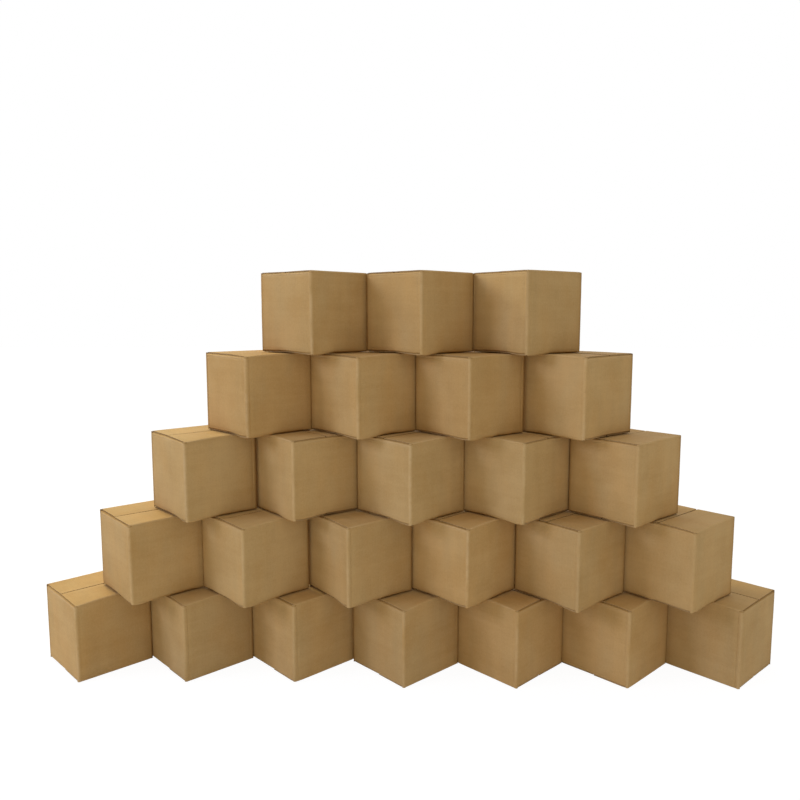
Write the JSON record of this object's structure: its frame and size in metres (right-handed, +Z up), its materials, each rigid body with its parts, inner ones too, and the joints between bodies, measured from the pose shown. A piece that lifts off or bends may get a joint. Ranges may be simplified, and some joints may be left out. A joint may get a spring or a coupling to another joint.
{
  "type": "stack of shipping boxes",
  "caption": "Stepped stack of closed cube shipping boxes of brown corrugated board, each standing corner-on; the uncovered outer top flaps open.",
  "frame": {"origin": "middle of the stack's bounding box, on the floor", "axes": "+X to the viewer's right along the levels, +Y away from the viewer, +Z up"},
  "size_m": [1.5366, 0.2926, 0.822],
  "materials": {
    "kraft_board": "matt brown kraft liner"
  },
  "bodies": {
    "root": {"level1_box1": "kraft_board", "level1_box2": "kraft_board", "level1_box3": "kraft_board", "level1_box4": "kraft_board", "level1_box5": "kraft_board", "level1_box6": "kraft_board", "level1_box7": "kraft_board", "level2_box1": "kraft_board", "level2_box2": "kraft_board", "level2_box3": "kraft_board", "level2_box4": "kraft_board", "level2_box5": "kraft_board", "level2_box6": "kraft_board", "level3_box1": "kraft_board", "level3_box2": "kraft_board", "level3_box3": "kraft_board", "level3_box4": "kraft_board", "level3_box5": "kraft_board", "level4_box1": "kraft_board", "level4_box2": "kraft_board", "level4_box3": "kraft_board", "level4_box4": "kraft_board", "level5_box1": "kraft_board", "level5_box2": "kraft_board", "level5_box3": "kraft_board"},
    "level1_box1_far_flap": {"level1_box1_far_flap": "kraft_board"},
    "level1_box7_far_flap": {"level1_box7_far_flap": "kraft_board"},
    "level2_box6_near_flap": {"level2_box6_near_flap": "kraft_board"},
    "level3_box5_near_flap": {"level3_box5_near_flap": "kraft_board"},
    "level5_box1_near_flap": {"level5_box1_near_flap": "kraft_board"},
    "level5_box1_far_flap": {"level5_box1_far_flap": "kraft_board"},
    "level5_box2_near_flap": {"level5_box2_near_flap": "kraft_board"},
    "level5_box2_far_flap": {"level5_box2_far_flap": "kraft_board"},
    "level5_box3_near_flap": {"level5_box3_near_flap": "kraft_board"},
    "level5_box3_far_flap": {"level5_box3_far_flap": "kraft_board"}
  },
  "joints": [
    {"name": "level1_box1_far_flap_crease", "type": "hinge", "parent": "root", "child": "level1_box1_far_flap", "pos_m": [-0.71497, 0.02904, 0.1614], "axis": [-0.6947, -0.7193, 0], "range_deg": [0, 170]},
    {"name": "level1_box7_far_flap_crease", "type": "hinge", "parent": "root", "child": "level1_box7_far_flap", "pos_m": [0.71399, 0.05203, 0.1614], "axis": [-0.7071, 0.7071, 0], "range_deg": [0, 170]},
    {"name": "level2_box6_near_flap_crease", "type": "hinge", "parent": "root", "child": "level2_box6_near_flap", "pos_m": [0.6095, -0.0879, 0.3258], "axis": [0.7314, 0.682, 0], "range_deg": [0, 170]},
    {"name": "level3_box5_near_flap_crease", "type": "hinge", "parent": "root", "child": "level3_box5_near_flap", "pos_m": [0.5, -0.0739, 0.4902], "axis": [0.7314, 0.682, 0], "range_deg": [0, 170]},
    {"name": "level5_box1_near_flap_crease", "type": "hinge", "parent": "root", "child": "level5_box1_near_flap", "pos_m": [-0.13434, -0.01688, 0.819], "axis": [0.6428, 0.766, 0], "range_deg": [0, 80]},
    {"name": "level5_box1_far_flap_crease", "type": "hinge", "parent": "root", "child": "level5_box1_far_flap", "pos_m": [-0.25568, 0.08493, 0.819], "axis": [-0.6428, -0.766, 0], "range_deg": [0, 170]},
    {"name": "level5_box2_near_flap_crease", "type": "hinge", "parent": "root", "child": "level5_box2_near_flap", "pos_m": [0.08392, -0.01799, 0.819], "axis": [0.682, 0.7314, 0], "range_deg": [0, 170]},
    {"name": "level5_box2_far_flap_crease", "type": "hinge", "parent": "root", "child": "level5_box2_far_flap", "pos_m": [-0.03193, 0.09004, 0.819], "axis": [-0.682, -0.7314, 0], "range_deg": [0, 80]},
    {"name": "level5_box3_near_flap_crease", "type": "hinge", "parent": "root", "child": "level5_box3_near_flap", "pos_m": [0.29583, -0.02753, 0.819], "axis": [0.7771, 0.6293, 0], "range_deg": [0, 170]},
    {"name": "level5_box3_far_flap_crease", "type": "hinge", "parent": "root", "child": "level5_box3_far_flap", "pos_m": [0.19615, 0.09557, 0.819], "axis": [-0.7771, -0.6293, 0], "range_deg": [0, 170]}
  ]
}
